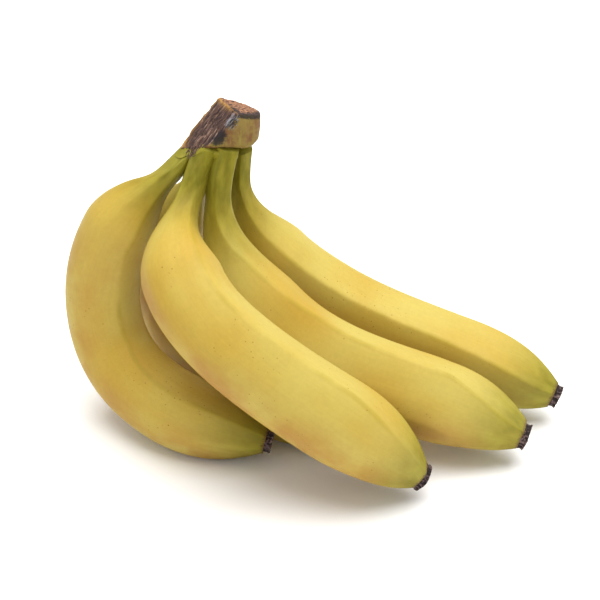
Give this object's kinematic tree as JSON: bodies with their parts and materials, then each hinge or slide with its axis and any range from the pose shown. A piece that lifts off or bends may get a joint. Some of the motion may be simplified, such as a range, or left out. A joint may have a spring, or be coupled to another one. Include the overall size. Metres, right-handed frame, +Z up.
{
  "type": "bunch of bananas",
  "caption": "Bunch of ripe yellow bananas with greenish necks and tips, dried blossom ends and a brown cut crown.",
  "frame": {"origin": "centre of the bounding box's bottom, on the surface that the bunch lies on", "axes": "+Z up, +X along the way the blossom ends point, +Y away from the side that the short banana's blossom end shows on"},
  "size_m": [0.2147, 0.1346, 0.1448],
  "materials": {
    "peel": "satin",
    "crown wood": "matte"
  },
  "bodies": {
    "root": {"banana_left": "peel", "banana_rear": "peel", "banana_front": "peel", "banana_middle": "peel", "banana_right": "peel", "crown": "crown wood"}
  },
  "joints": []
}
